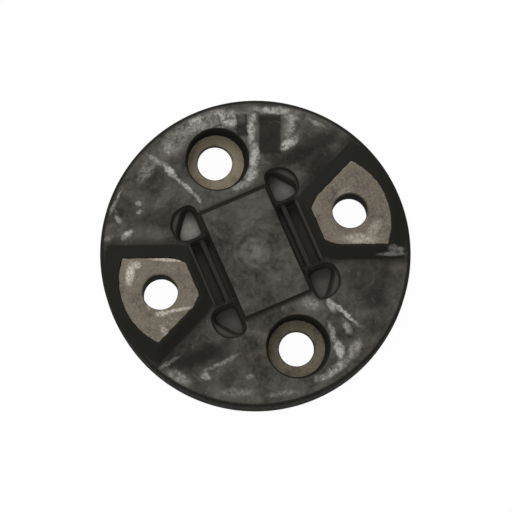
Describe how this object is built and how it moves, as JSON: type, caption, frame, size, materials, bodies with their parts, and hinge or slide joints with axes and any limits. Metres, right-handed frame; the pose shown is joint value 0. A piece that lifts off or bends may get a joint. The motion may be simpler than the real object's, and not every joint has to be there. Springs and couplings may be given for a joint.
{
  "type": "steering flex coupling",
  "caption": "Round moulded rubber disc coupling for a steering shaft, with steel plate-and-sleeve bolt inserts bonded in alternately on the front and the rear face.",
  "frame": {"origin": "on the steering axis, half way between the front and rear steel pads", "axes": "+Z along the steering axis out of the front face, +X through the right front bolt hole, +Y through the upper rear bolt hole"},
  "size_m": [0.0754, 0.0754, 0.0156],
  "materials": {
    "rubber": "moulded satin rubber with a dusty grey bloom on the raised faces",
    "insert_steel": "dull worn plated steel, brown grey with light scuffs"
  },
  "bodies": {
    "root": {"rubber_disc": "rubber", "front_insert_right": "insert_steel", "front_insert_left": "insert_steel", "rear_insert_upper": "insert_steel", "rear_insert_lower": "insert_steel"}
  },
  "joints": []
}
